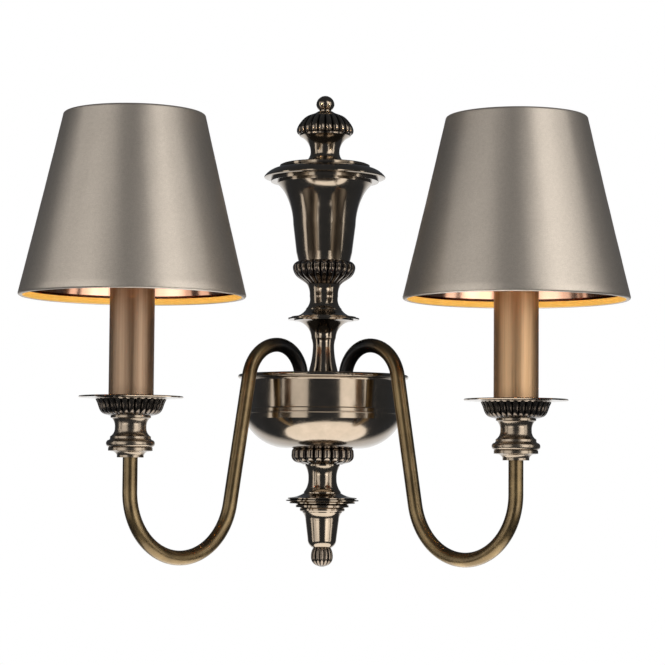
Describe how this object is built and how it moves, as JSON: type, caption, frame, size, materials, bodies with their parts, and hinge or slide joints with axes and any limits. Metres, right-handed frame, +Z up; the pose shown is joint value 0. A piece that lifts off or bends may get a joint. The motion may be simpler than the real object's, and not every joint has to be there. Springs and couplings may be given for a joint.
{
  "type": "double arm wall sconce",
  "caption": "Wall sconce with a turned column and dish, swan-neck arms, gadrooned candle cups, candle sleeves and tapered clip-on fabric shades.",
  "frame": {"origin": "middle of the wall bracket's back face, midway between the wall screws, on the wall", "axes": "+Z up, +Y into the wall, +X to the right seen from the room"},
  "size_m": [0.4082, 0.2435, 0.3405],
  "materials": {
    "bronze": "dark antique bronze, polished and lacquered",
    "arm_brass": "antique brass tube, satin",
    "sleeve_metal": "satin copper bronze",
    "zinc_steel": "zinc plated",
    "shade_fabric": "taupe satin on a stiff backing",
    "shade_foil": "copper metallised film",
    "plated_wire": "brass plated wire",
    "phenolic": "moulded lampholder",
    "bulb_metal": "rolled screw cap",
    "opal_glass": "opal glass",
    "cable_sheath": "soft sheath",
    "nylon": "moulded nylon",
    "screw_brass": "bright brass"
  },
  "bodies": {
    "sconce": {"dish_band": "bronze", "dish_bowl": "bronze", "dish_lid": "bronze", "baluster": "bronze", "sharp_disc": "bronze", "neck_spool": "bronze", "gadrooned_cup": "bronze", "urn_body": "bronze", "urn_cover": "bronze", "upper_spool": "bronze", "gadrooned_dome": "bronze", "ball_finial": "bronze", "gadrooned_collar": "bronze", "pendant_spool": "bronze", "stepped_disc": "bronze", "pendant_urn": "bronze", "reeded_ball": "bronze", "centre_rod": "zinc_steel", "rod_nuts": "zinc_steel", "wall_bracket": "zinc_steel", "dish_screws": "bronze", "terminal_block": "nylon", "terminal_screws": "screw_brass", "earth_screw": "screw_brass", "arm_nuts": "bronze", "arm_left": "arm_brass", "cup_base_left": "bronze", "gadrooned_nest_left": "bronze", "drip_pan_left": "bronze", "candle_sleeve_left": "sleeve_metal", "stem_left": "zinc_steel", "stem_nut_left": "zinc_steel", "lampholder_left": "phenolic", "lead_left": "cable_sheath", "arm_right": "arm_brass", "cup_base_right": "bronze", "gadrooned_nest_right": "bronze", "drip_pan_right": "bronze", "candle_sleeve_right": "sleeve_metal", "stem_right": "zinc_steel", "stem_nut_right": "zinc_steel", "lampholder_right": "phenolic", "lead_right": "cable_sheath"},
    "bulb_left": {"bulb_cap_left": "bulb_metal", "bulb_glass_left": "opal_glass"},
    "bulb_right": {"bulb_cap_right": "bulb_metal", "bulb_glass_right": "opal_glass"},
    "shade_left": {"shade_cover_left": "shade_fabric", "shade_lining_left": "shade_foil", "shade_rings_left": "plated_wire", "bulb_clip_left": "plated_wire"},
    "shade_right": {"shade_cover_right": "shade_fabric", "shade_lining_right": "shade_foil", "shade_rings_right": "plated_wire", "bulb_clip_right": "plated_wire"}
  },
  "joints": [
    {"name": "bulb_left_turn", "type": "hinge", "parent": "sconce", "child": "bulb_left", "pos_m": [-0.12807, -0.16755, 0.1], "axis": [0, 0, 1], "range_deg": [0, 900]},
    {"name": "shade_left_lift", "type": "slide", "parent": "bulb_left", "child": "shade_left", "axis": [0, 0, 1], "range_m": [0, 0.125]},
    {"name": "bulb_right_turn", "type": "hinge", "parent": "sconce", "child": "bulb_right", "pos_m": [0.12807, -0.16755, 0.1], "axis": [0, 0, 1], "range_deg": [0, 900]},
    {"name": "shade_right_lift", "type": "slide", "parent": "bulb_right", "child": "shade_right", "axis": [0, 0, 1], "range_m": [0, 0.125]}
  ]
}
